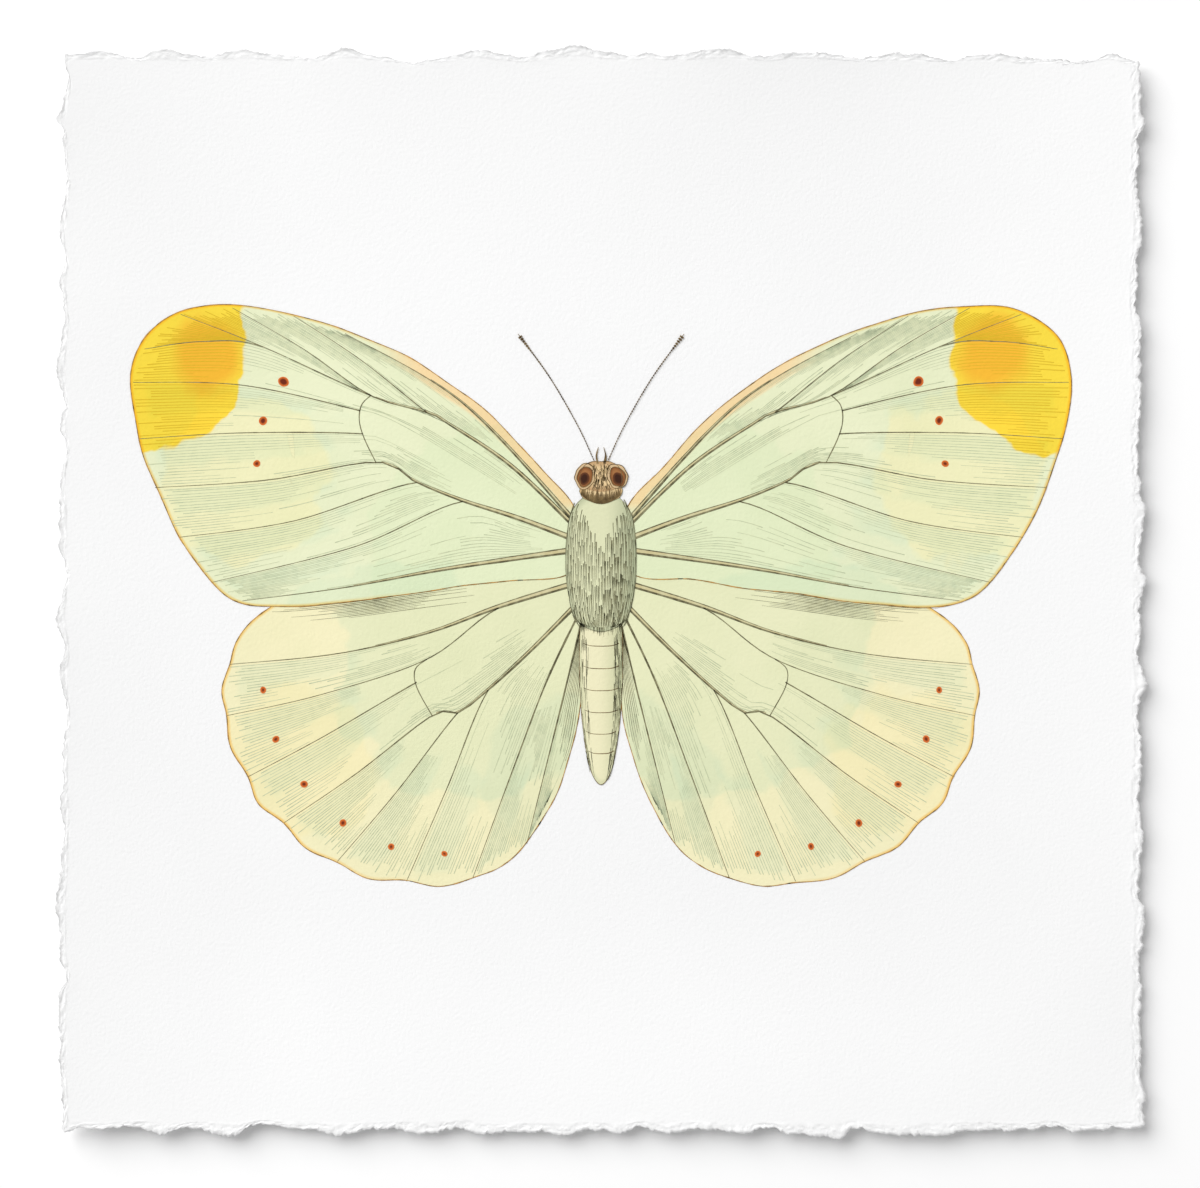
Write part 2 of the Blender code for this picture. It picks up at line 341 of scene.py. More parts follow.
def cotton_paper():
    """White rag paper, with matted fibre on the torn lip and painted shade greying its rim."""
    material = bpy.data.materials.new("cotton_paper")
    nodes, links, shader, place, tooth_bump = paper_tooth(material)
    shader.inputs["Sheen Weight"].default_value = 0.05
    white = two_tones(nodes, links, noise_texture(nodes, links, place, 60.0),
                      (0.3, (0.897, 0.897, 0.897, 1)), (0.7, (0.903, 0.903, 0.903, 1)))
    # Painted shade: a grey line along the lip's rim and its crease, strongest at the left and
    # the top
    shaded_white = glaze(nodes, links, white, (0.56, 0.56, 0.56, 1), mesh_value(nodes, "painted_lip_shade"))
    links.new(shaded_white, shader.inputs["Base Color"])

    fibre_bump = nodes.new("ShaderNodeBump")
    fibre_bump.inputs["Distance"].default_value = 0.14 * MM
    links.new(mesh_value(nodes, "torn"), fibre_bump.inputs["Strength"])
    links.new(noise_texture(nodes, links, place, 1700.0, Detail=4.0, Distortion=1.2),
              fibre_bump.inputs["Height"])
    links.new(tooth_bump.outputs["Normal"], fibre_bump.inputs["Normal"])
    links.new(fibre_bump.outputs["Normal"], shader.inputs["Normal"])
    return material


def set_out(name, bm, material):
    """Make a smooth-shaded piece of a mesh and its material, and put it in the scene."""
    mesh = bpy.data.meshes.new(name)
    bm.to_mesh(mesh)
    bm.free()
    mesh.shade_smooth()
    mesh.materials.append(material)
    piece = bpy.data.objects.new(name, mesh)
    bpy.context.scene.collection.objects.link(piece)
    return piece


edges = [torn_edge(index / RIM_POINTS) for index in range(RIM_POINTS)]
bm = bmesh.new()
layers = [bm.verts.layers.float.new(name) for name in ("torn", "painted_lip_shade")]
whole = [0.0] * RIM_POINTS
rows = [([on_sheet(back, 0.0) for rim, back, lip_shade in edges], whole, whole)]
for rise, reach in ((0.0, 0.55), (0.3, 0.2), (1.0, 0.0)):
    spots = [on_sheet(rim.lerp(back, reach), LIP_UNDERSIDE * rise)
             for rim, back, lip_shade in edges]
    rows.append((spots, [1.0 - reach] * RIM_POINTS, whole))
# Each ring of the lip carries its share of the painted shade
for step, shade_share in enumerate(LIP_PAINTED_SHADE):
    reach = step / LIP_RINGS
    spots = []
    for index, (rim, back, lip_shade) in enumerate(edges):
        turn = math.tau * index / RIM_POINTS
        spots.append(on_sheet(rim.lerp(back, reach), lip_height(rim, back, reach, turn)))
    rows.append((spots, [1.0 - reach ** 2] * RIM_POINTS,
                 [shade_share * lip_shade for rim, back, lip_shade in edges]))
rows.append(([on_sheet(inward(back, SHOULDER_ROUNDING), PAPER_THICKNESS)
              for rim, back, lip_shade in edges], whole, whole))
add_band(bm, layers, rows)
open_edges = [edge for edge in bm.edges if edge.is_boundary]
for height in (0.0, PAPER_THICKNESS):
    ring = [edge for edge in open_edges
            if all(abs(vert.co.z - lift_at(vert.co) - height) < 0.01 * MM
                   for vert in edge.verts)]
    for inset, roundness in zip(FACE_INSETS, FACE_ROUNDNESS):
        following = add_ring(bm, margin_spots(inset, roundness, MIDDLE_POINTS, height))
        bmesh.ops.bridge_loops(bm, edges=ring + following)
        ring = following
    bmesh.ops.edgeloop_fill(bm, edges=ring)
bmesh.ops.recalc_face_normals(bm, faces=bm.faces)
deckle_sheet = set_out("deckle_sheet", bm, cotton_paper())
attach(deckle_sheet, "root")
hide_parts("paper_sheet")

# Wing washes
# The pale colour of the two wing pairs: thin watercolour laid in overlapping glazes inside
# the engraved outlines, a warm patch at each tip. Each wash is a film just over the paper.
FOREWING = (
    (5.0, 15.5), (12, 24.5), (22, 35), (36, 45), (52, 52), (68, 55.8), (80, 55.5),
    (88.5, 50.5), (91.8, 42), (90.5, 32), (87, 21), (82, 10.5), (76, 2), (70.5, -2),
    (62, -2.8), (48, -1.6), (32, 0.5), (18, 2.5), (6, 4),
)
HINDWING = (
    (5.5, 4), (16, 5.5), (30, 5), (45, 3.5), (58, 0.5), (66.5, -4.5), (71, -9.5),
    (72.5, -14), (73.9, -19), (73, -24), (72.3, -30.3), (69, -36), (66.8, -41.2),
    (62, -45), (57.8, -49.8), (51.5, -52.5), (45.4, -55.8), (38, -56.4), (31.6, -57.3),
    (25, -55.6), (19.3, -53.4), (14.5, -49), (9.0, -39.5), (5.0, -28), (3.6, -16), (4, -6),
)
FOREWING_MIDDLE = (45, 26)
HINDWING_MIDDLE = (38, -24)
# The films lie in this order, each just over the one before it
HINDWING_HEIGHT = PAPER_THICKNESS + 0.040 * MM
HINDWING_INK_HEIGHT = PAPER_THICKNESS + 0.055 * MM
FOREWING_HEIGHT = PAPER_THICKNESS + 0.075 * MM
FOREWING_INK_HEIGHT = PAPER_THICKNESS + 0.090 * MM
OUTLINE_STEPS = 14
# The hand that drew the outlines wavered this far, over this way
WAVER = 0.25 * MM
WAVER_PERIOD = 11 * MM
# The rings of a wash's mesh crowd towards its edge
WASH_RINGS = 20
WASH_CROWDING = 1.6
# A screen's gamma, and how much of the studio's white the paper sends back
SCREEN_GAMMA = 2.2
PAPER_SHARE = 0.957


def spots_of(points, hand=1):
    """Points given in millimetres for the right side, or mirrored to the left with -1."""
    return [Vector((hand * x, y)) * MM for x, y in points]


def smooth(points, steps, closed=False):
    """A smooth path through the points, with this many steps from each to the next."""
    path = []
    for index in range(len(points) if closed else len(points) - 1):
        picks = [index - 1, index, index + 1, index + 2]
        if closed:
            picks = [pick % len(points) for pick in picks]
        before, start, end, after = (points[min(max(pick, 0), len(points) - 1)]
                                     for pick in picks)
        path += interpolate_bezier(start, start + (end - before) / 6,
                                   end - (after - start) / 6, end, steps + 1)[:-1]
    return path if closed else path + [points[-1]]


def wing_outline(points, hand):
    """A wing's closed outline, drawn by hand and so a little different on each side."""
    path = smooth(spots_of(points, hand), OUTLINE_STEPS, closed=True)
    return [spot + Vector((ripple(spot, WAVER_PERIOD, 21.0), ripple(spot, WAVER_PERIOD, 22.0)))
            * WAVER for spot in path]


def add_wash(bm, outline, middle, height):
    """A film of colour inside a closed outline, marked with its distance from the edge."""
    inset = bm.verts.layers.float.get("inset") or bm.verts.layers.float.new("inset")
    rows = []
    for ring in range(WASH_RINGS + 1):
        share = (ring / WASH_RINGS) ** WASH_CROWDING
        rows.append(([on_sheet(spot.lerp(middle, share), height) for spot in outline],
                     [share * (spot - middle).length for spot in outline]))
    add_band(bm, [inset], rows)


def lay_film(name, bm, material):
    """Turn films of colour face up and set them on the sheet as one piece."""
    bm.normal_update()
    under = [face for face in bm.faces if face.normal.z < 0]
    bmesh.ops.reverse_faces(bm, faces=under)
    film = set_out(name, bm, material)
    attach(film, "root")


def paint(red, green, blue):
    """The colour whose print looks like this on screen under the studio light."""
    screen = (red / 255, green / 255, blue / 255)
    return tuple(value ** SCREEN_GAMMA * PAPER_SHARE for value in screen) + (1.0,)


def math_node(nodes, links, operation, *values):
    """A sum, product or the like of numbers and of other nodes' values."""
    node = nodes.new("ShaderNodeMath")
    node.operation = operation
    for socket, value in zip(node.inputs, values):
        if isinstance(value, bpy.types.NodeSocket):
            links.new(value, socket)
        else:
            socket.default_value = value
    return node.outputs["Value"]


def fade_between(nodes, links, value, outside, inside):
    """A mask that turns from 0 to 1 as the value goes from outside to inside."""
    node = nodes.new("ShaderNodeMapRange")
    node.interpolation_type = "SMOOTHSTEP"
    links.new(value, node.inputs["Value"])
    node.inputs["From Min"].default_value = outside
    node.inputs["From Max"].default_value = inside
    return node.outputs["Result"]


def fold_sides(nodes, links, place):
    """The place in plan with both sides folded on to the right one."""
    split = nodes.new("ShaderNodeSeparateXYZ")
    links.new(place.outputs["Object"], split.inputs["Vector"])
    folded = nodes.new("ShaderNodeCombineXYZ")
    span = math_node(nodes, links, "ABSOLUTE", split.outputs["X"])
    links.new(span, folded.inputs["X"])
    links.new(split.outputs["Y"], folded.inputs["Y"])
    return folded.outputs["Vector"], (span, split.outputs["Y"])


def edge_noise(nodes, links, place):
    """The unevenness that makes a glaze's edge wander."""
    return noise_texture(nodes, links, place, 95.0, Detail=3.0)


def ragged_circle(nodes, links, folded, wander, middle, radius, ragged, soft):
    """A mask that is 1 inside a circle with a wandering edge."""
    away = nodes.new("ShaderNodeVectorMath")
    away.operation = "DISTANCE"
    links.new(folded, away.inputs[0])
    away.inputs[1].default_value = (middle[0] * MM, middle[1] * MM, 0)
    edge = math_node(nodes, links, "MULTIPLY_ADD", wander, ragged * 2 * MM,
                     away.outputs["Value"])
    rim = (radius + ragged) * MM
    return fade_between(nodes, links, edge, rim + soft / 2 * MM, rim - soft / 2 * MM)


def wing_wash(name, ground, patches, costal_band=False, cell_tint=None):
    """Watercolour of a wing pair: round-edged glazes over one ground, and a warm margin.

    Each patch is its middle on the right wing, its radius, how far its edge wanders, how
    soft the edge is, and its tint. The left wing has the same patches mirrored. With a cell
    tint it is the same colour for the streaks inside the wing, deepened where they lie.
    """
    material = bpy.data.materials.new(name)
    nodes, links, shader, place, _ = paper_tooth(material)
    folded, (span, rise) = fold_sides(nodes, links, place)

    pigment = noise_texture(nodes, links, place, 45.0, Detail=8.0, Roughness=0.62)
    grain = two_tones(nodes, links, pigment, (0.3, (0.93, 0.95, 0.92, 1)), (0.65, (1, 1, 1, 1)))
    colour = glaze(nodes, links, grain, ground)
    wander = edge_noise(nodes, links, place)
    for *circle, tint in patches:
        colour = glaze(nodes, links, colour, tint,
                       ragged_circle(nodes, links, folded, wander, *circle))
    if cell_tint:
        colour = glaze(nodes, links, colour, cell_tint, mesh_value(nodes, "cell"))
        links.new(colour, shader.inputs["Base Color"])
        return material

    inset = mesh_value(nodes, "inset")
    if costal_band:
        near = fade_between(nodes, links, inset, 3.2 * MM, 2.2 * MM)
        short = fade_between(nodes, links, span, 46 * MM, 34 * MM)
        upper = fade_between(nodes, links, rise, 15 * MM, 18 * MM)
        band = math_node(nodes, links, "MULTIPLY", near, short)
        band = math_node(nodes, links, "MULTIPLY", band, upper)
        colour = glaze(nodes, links, colour, (1.14, 0.82, 0.66, 1), band)
    margin = fade_between(nodes, links, inset, 0.75 * MM, 0.15 * MM)
    outer = fade_between(nodes, links, span, 30 * MM, 62 * MM)
    margin = math_node(nodes, links, "MULTIPLY", margin, outer)
    colour = glaze(nodes, links, colour, (1.0, 0.72, 0.36, 1), margin)
    links.new(colour, shader.inputs["Base Color"])
    return material


FOREWING_PATCHES = (
    ((20, 8), 25, 7.0, 1.6, (0.95, 0.985, 0.965, 1)),
    ((40, -26), 32, 6.0, 1.6, (0.92, 0.965, 0.97, 1)),
    ((70, 22), 16, 7.0, 1.8, (1.07, 1.0, 0.90, 1)),
    ((90, 49), 21.5, 5.0, 0.7, (1.16, 0.83, 0.10, 1)),
    ((76.5, 46.5), 6.5, 4.0, 5.0, (0.98, 0.70, 0.60, 1)),
)
TIP = 3
HINDWING_PATCHES = (
    ((24, -12), 28, 8.0, 1.8, (0.89, 0.96, 0.98, 1)),
    ((8, -36), 15, 6.0, 1.8, (0.93, 0.965, 0.98, 1)),
    ((60, -34), 15, 7.0, 2.4, (1.02, 0.99, 0.93, 1)),
)
FOREWING_GROUND = paint(236, 240, 202)
HINDWING_GROUND = paint(247, 240, 196)
for name, outline, middle, height, wash in (
        ("hindwing_wash", HINDWING, HINDWING_MIDDLE, HINDWING_HEIGHT,
         wing_wash("hindwing_watercolour", HINDWING_GROUND, HINDWING_PATCHES)),
        ("forewing_wash", FOREWING, FOREWING_MIDDLE, FOREWING_HEIGHT,
         wing_wash("forewing_watercolour", FOREWING_GROUND, FOREWING_PATCHES, True))):
    bm = bmesh.new()
    for hand in (1, -1):
        add_wash(bm, wing_outline(outline, hand), *spots_of([middle], hand), height)
    lay_film(name, bm, wash)

# Wing engraving
# The printed lines of the wings: doubled veins that thin out towards the margins, fine
# broken hatching between them, and the outlines, all in ink with almost no body. Under them
# the colourist has filled the doubled veins with tan and streaked the cells beside the veins.
FOREWING_STEM = ((4.6, 12), (17.5, 24.5), (30, 33), (34, 35.2))
FOREWING_LOWER = ((4.6, 9.8), (16, 14.2), (27, 17.8), (36, 21.5))
HINDWING_LOWER = ((4.2, -2), (13, -10.8), (22, -19), (28, -23.5))
# Each ray runs from the hub to the margin. It is drawn as a vein from the point whose
# number is given after it, and only bounds the hatching before that.
FOREWING_RAYS = (
    (((4.6, 13), (27, 37), (50, 50.6)), 0),
    (FOREWING_STEM + ((47, 45.5), (60, 54)), 3),
    (FOREWING_STEM + ((45, 38.5), (58, 47.5), (72, 55.6)), 0),
    (FOREWING_STEM + ((45, 38.5), (66, 48), (82, 54.3)), 4),
    (FOREWING_STEM + ((45, 38.5), (66, 48), (78, 49), (89, 47.5)), 5),
    (((4.6, 11.4), (24, 23.5), (40, 33), (47, 35.5), (70, 40.5), (91.2, 41)), 3),
    (((4.6, 10.8), (24, 20.5), (40, 29), (46.5, 31), (70, 31.2), (90, 30)), 3),
    (FOREWING_LOWER + ((44, 25.5), (65, 22), (87, 20.5)), 0),
    (FOREWING_LOWER + ((60, 14), (82.3, 10.8)), 3),
    (((4.6, 9.8), (16, 14.2), (27, 17.8), (48, 9), (76, 2)), 2),
    (((4.6, 8), (30, 4.5), (50, 1), (70, -1.6)), 0),
)
HINDWING_RAYS = (
    (((4.4, 1.6), (20, -3), (34, -8), (52, -12), (72.5, -14)), 0),
    (((4.4, 1.6), (20, -3), (34, -13), (55, -20), (73, -24)), 1),
    (((4.4, 0), (20, -9), (36, -17.5), (54, -28), (69, -36)), 2),
    (HINDWING_LOWER + ((33, -24), (48, -35.5), (62, -45)), 0),
    (HINDWING_LOWER + ((40, -39), (51.5, -52.5)), 3),
    (((4.2, -2), (13, -10.8), (22, -19), (30, -38), (38, -56.4)), 2),
    (((3.8, -3), (10.5, -17), (17, -34), (25, -55.6)), 0),
    (((3.4, -4), (8, -23), (14.5, -49)), 0),
)
FOREWING_CROSS = ((45, 38.5), (46.8, 36.6), (47.2, 33.5), (46.2, 30), (44, 25.5))
HINDWING_CROSS = ((34, -13), (36.3, -15), (36, -18.5), (33, -24))
# The inner edge of the hindwing only bounds the hatching beside the abdomen
HINDWING_INNER = ((3.2, -6), (4.2, -19), (5.8, -30), (10.5, -41))
# The rear edge of the front wing, where it lies over the hind wing
FOREWING_REAR = ((24, 1.4), (36, -0.1), (50, -2.0), (62, -3.1), (68, -2.9))
VEIN_SPOTS = 26
# A doubled vein has this many spots, and its lines draw together from one gap to the other
DOUBLED_SPOTS = 20
HUB_GAP = 0.97
END_GAP = 0.22
HATCH_SPACING = 0.58
NARROWEST_HATCH = 0.26
# The longest hatching from the margin and from the hub, in spots of the rays
LONGEST_INWARD = 30
LONGEST_OUTWARD = 26
# The outline is drawn in strokes of this many steps
OUTLINE_STROKE = 60
RAY_STEPS = 12
# Every ray has this many spots, and the last of them is on the wing's margin
RAY_SPOTS = 60
MARGIN = RAY_SPOTS - 1
# The streaks and the veins' tan lie this high over the wash, and the streaks run from this
# spot of a ray to the margin
CELL_HEIGHT = 0.004 * MM
VEIN_TINT_HEIGHT = 0.009 * MM
CELL_START = 26
# How far across its cell, from the first vein, each line of a streak's mesh lies
STREAK_SHARES = [0.03 + 0.055 * column for column in range(13)]
# The veins and the outlines lie this high over the hatching
VEINS_OVER_HATCHING = 0.004 * MM
OUTLINES_OVER_HATCHING = 0.006 * MM


def resample(path, count):
    """The same path with this many points at equal distances along it."""
    lengths = [0.0]
    for start, end in zip(path, path[1:]):
        lengths.append(lengths[-1] + (end - start).length)
    spots, index = [], 0
    for step in range(count):
        way = lengths[-1] * step / (count - 1)
        while index < len(path) - 2 and lengths[index + 1] < way:
            index += 1
        share = (way - lengths[index]) / max(lengths[index + 1] - lengths[index], 1e-9)
        spots.append(path[index].lerp(path[index + 1], min(share, 1.0)))
    return spots


def stroke(path, start, end, uneven=0.25):
    """A path and its line widths in millimetres, pressed unevenly and tapered at the tip."""
    widths = []
    for index, spot in enumerate(path):
        share = index / (len(path) - 1)
        press = 1 + uneven * ripple(spot, 1.6 * MM, 31.0)
        widths.append((start + (end - start) * share) * press * MM)
    return path, widths


def print_lines(name, strokes, height, material):
    """Lay strokes on the sheet as flat ribbons of ink or paint, all in one piece."""
    nib = bpy.data.curves.new("nib", "CURVE")
    nib.dimensions = "3D"
    across = nib.splines.new("POLY")
    across.points.add(1)
    across.points[0].co = (-0.5, 0, 0, 1)
    across.points[1].co = (0.5, 0, 0, 1)
    drawing = bpy.data.curves.new("drawing", "CURVE")
    drawing.dimensions = "3D"
    drawing.twist_mode = "Z_UP"
    drawing.bevel_mode = "OBJECT"
    for path, widths in strokes:
        line = drawing.splines.new("POLY")
        line.points.add(len(path) - 1)
        for point, spot, width in zip(line.points, path, widths):
            point.co = (*on_sheet(spot, height), 1)
            point.radius = width
    tools = [bpy.data.objects.new(curve.name, curve) for curve in (nib, drawing)]
    for tool in tools:
        bpy.context.scene.collection.objects.link(tool)
    drawing.bevel_object = tools[0]
    depsgraph = bpy.context.evaluated_depsgraph_get()
    ribbons = bpy.data.meshes.new_from_object(tools[1].evaluated_get(depsgraph))
    bm = bmesh.new()
    bm.from_mesh(ribbons)
    for tool, curve in zip(tools, (nib, drawing)):
        bpy.data.objects.remove(tool)
        bpy.data.curves.remove(curve)
    bpy.data.meshes.remove(ribbons)
    lay_film(name, bm, material)


def ink(name, strong, weak, over_tip=None):
    """Printer's ink that took unevenly on the paper's tooth.

    Where it is thin enough for the yellow of the wing tips to show through, it turns to
    the colour given for them.
    """
    material = bpy.data.materials.new(name)
    nodes, links, shader, place, _ = paper_tooth(material)
    patchy = noise_texture(nodes, links, place, 700.0, Detail=2.0)
    colour = two_tones(nodes, links, patchy, (0.35, strong), (0.65, weak))
    if over_tip:
        folded, _ = fold_sides(nodes, links, place)
        wander = edge_noise(nodes, links, place)
        inside_tip = ragged_circle(nodes, links, folded, wander, *FOREWING_PATCHES[TIP][:4])
        tinted = nodes.new("ShaderNodeMixRGB")
        links.new(inside_tip, tinted.inputs["Fac"])
        links.new(colour, tinted.inputs["Color1"])
        tinted.inputs["Color2"].default_value = over_tip
        colour = tinted.outputs["Color"]
    links.new(colour, shader.inputs["Base Color"])
    return material


def ray_path(points, hand):
    """A ray from the hub to the margin, with its spots at equal distances."""
    return resample(smooth(spots_of(points, hand), RAY_STEPS), RAY_SPOTS)


def vein_strokes(points, drawn_from, hand):
    """A vein's ink and its tint: a line that thins outwards, doubled near the hub."""
    drawn = smooth(spots_of(points, hand), RAY_STEPS)[drawn_from * RAY_STEPS:]
    reach = max(abs(point[0]) for point in points)
    main = resample(drawn, VEIN_SPOTS)
    lines = [stroke(main, 0.44 if drawn_from == 0 else 0.24, 0.10)]
    tints = []
    if drawn_from == 0 and reach > 40:
        near = resample(drawn[:len(drawn) * 2 // 3], DOUBLED_SPOTS)
        shares = [index / (DOUBLED_SPOTS - 1) for index in range(DOUBLED_SPOTS)]
        gaps = [Vector((0, (HUB_GAP - END_GAP) * (1 - share) + END_GAP)) * MM
                for share in shares]
        lines.append(stroke([spot + gap for spot, gap in zip(near, gaps)], 0.24, 0.07))
        tints.append(stroke([spot + gap / 2 for spot, gap in zip(near, gaps)], 0.85, 0.2, 0.1))
    return lines, tints


def glaze_cells(name, fans, height, material):
    """Streaks of deeper colour beside the veins, from the wing's middle to its margin."""
    bm = bmesh.new()
    cell = bm.verts.layers.float.new("cell")
    for paths in fans:
        for first, second in zip(paths, paths[1:]):
            rows = []
            for step in range(CELL_START, MARGIN):
                spots, deep = [], []
                for column, share in enumerate(STREAK_SHARES):
                    spot = first[step].lerp(second[step], share)
                    ragged = ripple(spot, 4 * MM, 51.0)
                    near = min(max((0.62 + 0.10 * ragged - share) / 0.10, 0.0), 1.0)
                    outer = min(max((step - 35 - 5 * ragged) / 4, 0.0), 1.0)
                    # The mesh's own ends have the wash's colour, and so don't show
                    inside = min(column, 1) * min(MARGIN - 1 - step, 1)
                    spots.append(on_sheet(spot, height))
                    deep.append(near * outer * inside)
                rows.append((spots, deep))
            add_band(bm, [cell], rows, closed=False)
    lay_film(name, bm, material)


def hatch_between(first, second, chance):
    """Fine lines between two neighbouring veins, in from the margin and out from the hub.

    Those from the margin reach furthest beside the first vein, and those from the hub
    beside the second.
    """
    gaps = [(a - b).length / MM for a, b in zip(first, second)]
    count = int(max(gaps) / HATCH_SPACING)
    lines = []
    for index in range(1, count):
        share = (index + chance.uniform(-0.15, 0.15)) / count
        line = [a.lerp(b, share) for a, b in zip(first, second)]
        opening = next(step for step, gap in enumerate(gaps) if gap / count > NARROWEST_HATCH)
        inward_reach = LONGEST_INWARD * (1 - share) ** 2 * chance.uniform(0.6, 1.3)
        inner = int(MARGIN - 4 - inward_reach - chance.uniform(0, 7))
        outward_reach = LONGEST_OUTWARD * share ** 2 * chance.uniform(0.5, 1.3)
        outer = int(opening + 3 + outward_reach + chance.uniform(0, 6))
        parts = [(max(inner, opening), MARGIN - chance.randrange(0, 3))]
        if outer < inner - 4:
            parts.append((opening + chance.randrange(0, 4), outer))
        if inner - outer > 22 and chance.random() < 0.3:
            start = chance.randrange(outer + 2, inner - 12)
            parts.append((start, start + chance.randrange(6, 12)))
        for start, end in parts:
            part = line[start:end + 1:2]
            if len(part) > 2:
                lines.append(stroke(part[::-1], 0.15, 0.07))
    return lines


def shade_between(first, second, count, reach, chance):
    """Strong lines that shade a fold, longest beside its first edge."""
    lines = []
    for index in range(count):
        share = (index + 0.5) / count
        line = [a.lerp(b, share) for a, b in zip(first, second)]
        start = chance.randrange(0, 5)
        end = int(reach * (1 - 0.5 * share) * chance.uniform(0.75, 1.1))
        lines.append(stroke(line[start:start + end:2], 0.15, 0.05))
    return lines


def shade_under(edge, chance):
    """Strong lines along the front wing's rear edge, where it lies over the hind wing."""
    lines = []
    for index in range(11):
        fold = [spot - Vector((0, 0.30 * index * MM)) for spot in edge]
        start, end = chance.randrange(0, 16), MARGIN - index - chance.randrange(0, 16)
        middle = (start + end) // 2
        width = 0.19 - 0.008 * index
        for half in (fold[middle:end], fold[middle:start:-1]):
            lines.append(stroke(half, width, 0.04))
    return lines


chance = random.Random(7)
vein_ink = ink("vein_ink", paint(92, 88, 64), paint(142, 138, 104))
hatching_ink = ink("hatching_ink", paint(184, 194, 158), paint(210, 215, 176),
                   over_tip=paint(222, 184, 46))
outline_ink = ink("outline_ink", paint(122, 94, 50), paint(200, 150, 78))
vein_tint = ink("vein_watercolour", paint(206, 194, 146), paint(216, 208, 164))
for wing, rays, cross, outline, wash_height, height, cells, streaks in (
        ("forewing", FOREWING_RAYS, FOREWING_CROSS, FOREWING, FOREWING_HEIGHT,
         FOREWING_INK_HEIGHT, slice(5, None),
         wing_wash("forewing_streaks", FOREWING_GROUND, FOREWING_PATCHES,
                   cell_tint=(0.925, 0.970, 0.985, 1))),
        ("hindwing", HINDWING_RAYS, HINDWING_CROSS, HINDWING, HINDWING_HEIGHT,
         HINDWING_INK_HEIGHT, slice(0, None),
         wing_wash("hindwing_streaks", HINDWING_GROUND, HINDWING_PATCHES,
                   cell_tint=(0.925, 0.970, 0.990, 1)))):
    fans, veins, tints, hatching, contours = [], [], [], [], []
    for hand in (1, -1):
        paths = [ray_path(points, hand) for points, _ in rays]
        fans.append(paths[cells])
        for points, drawn_from in rays:
            vein_lines, vein_tints = vein_strokes(points, drawn_from, hand)
            veins += vein_lines
            tints += vein_tints
        veins.append(stroke(smooth(spots_of(cross, hand), 5), 0.20, 0.20))
        if wing == "hindwing":
            paths.append(ray_path(HINDWING_INNER, hand))
            veins += shade_between(paths[-1], paths[-2], 9, 46, chance)
            veins += shade_under(ray_path(FOREWING_REAR, hand), chance)
        for first, second in zip(paths, paths[1:]):
            hatching += hatch_between(first, second, chance)
        edge = wing_outline(outline, hand)
        edge = edge + edge[:1]
        for start in range(0, len(edge) - 1, OUTLINE_STROKE):
            part = edge[start:start + OUTLINE_STROKE + 2]
            if len(part) > 3:
                contours.append(stroke(part, 0.17, 0.17, 0.45))
    glaze_cells(wing + "_streaks", fans, wash_height + CELL_HEIGHT, streaks)
    print_lines(wing + "_vein_tints", tints, wash_height + VEIN_TINT_HEIGHT, vein_tint)
    print_lines(wing + "_hatching", hatching, height, hatching_ink)
    print_lines(wing + "_veins", veins, height + VEINS_OVER_HATCHING, vein_ink)
    print_lines(wing + "_outlines", contours, height + OUTLINES_OVER_HATCHING, outline_ink)

# Body and antennae
# The insect's body, printed over the wings' roots: a thorax hatched along its length, a
# jointed abdomen, a head with two large eyes and a collar, and two thin beaded antennae.
THORAX = ((0, 19.2), (3.4, 18.6), (6.0, 15), (6.9, 8), (6.5, 0.5), (4.7, -5.4), (0, -7.6))
ABDOMEN = ((0, -4.5), (3.6, -5.5), (4.2, -12), (4.0, -21), (3.2, -29), (1.9, -35), (0, -37.5))
COLLAR = ((0, 21.2), (3.0, 21.4), (3.9, 20.6), (4.1, 19.6), (3.1, 18.3), (0, 17.6))
HEAD = ((0, 25.6), (1.7, 25.6), (3.4, 24.6), (4.1, 22.6), (3.5, 20.6), (0, 19.7))
ANTENNA = ((1.3, 25.6), (4.5, 32.5), (10, 42), (16.2, 50.5))
ABDOMEN_JOINTS = (-10.4, -14.8, -19.1, -23.4, -27.6, -31.4)
ABDOMEN_HEIGHT = PAPER_THICKNESS + 0.115 * MM
THORAX_HEIGHT = PAPER_THICKNESS + 0.145 * MM
COLLAR_HEIGHT = PAPER_THICKNESS + 0.170 * MM
HEAD_HEIGHT = PAPER_THICKNESS + 0.195 * MM
INK_OVER_WASH = 0.012 * MM
EYE_PLACE = (3.15, 22.7)
EYE_TILT = 0.30
# The hairs of the thorax and the collar are drawn in lanes, this many on each side
HAIR_LANES = 21
FRINGE_LANES = 26
ABDOMEN_HAIRS = 170
WAIST_HAIRS = 60
FACE_HAIRS = 120
# An antenna's steps, and the share of it where its club starts to swell
FEELER_STEPS = 160
CLUB_START = 0.86
# A colour whose shading would begin and end here, far off the sheet, is the same all over
UNSHADED = (900, 950)


def body_outline(half):
    """A closed outline from its right half, which runs from the top to the bottom."""
    left = [(-x, y) for x, y in half[-2:0:-1]]
    return smooth(spots_of(half) + spots_of(left), 10, closed=True)


def ellipse(centre, across, along, tilt, count=28):
    """A closed ellipse with half axes in millimetres, a little uneven as if drawn by hand."""
    outline = []
    for index in range(count):
        turn = math.tau * index / count
        x, y = across * math.cos(turn), along * math.sin(turn)
        spot = Vector((x * math.cos(tilt) - y * math.sin(tilt),
                       x * math.sin(tilt) + y * math.cos(tilt))) * MM
        wobble = 1 + 0.10 * ripple(centre + spot, 1.3 * MM, 41.0)
        outline.append(centre + spot * wobble)
    return outline


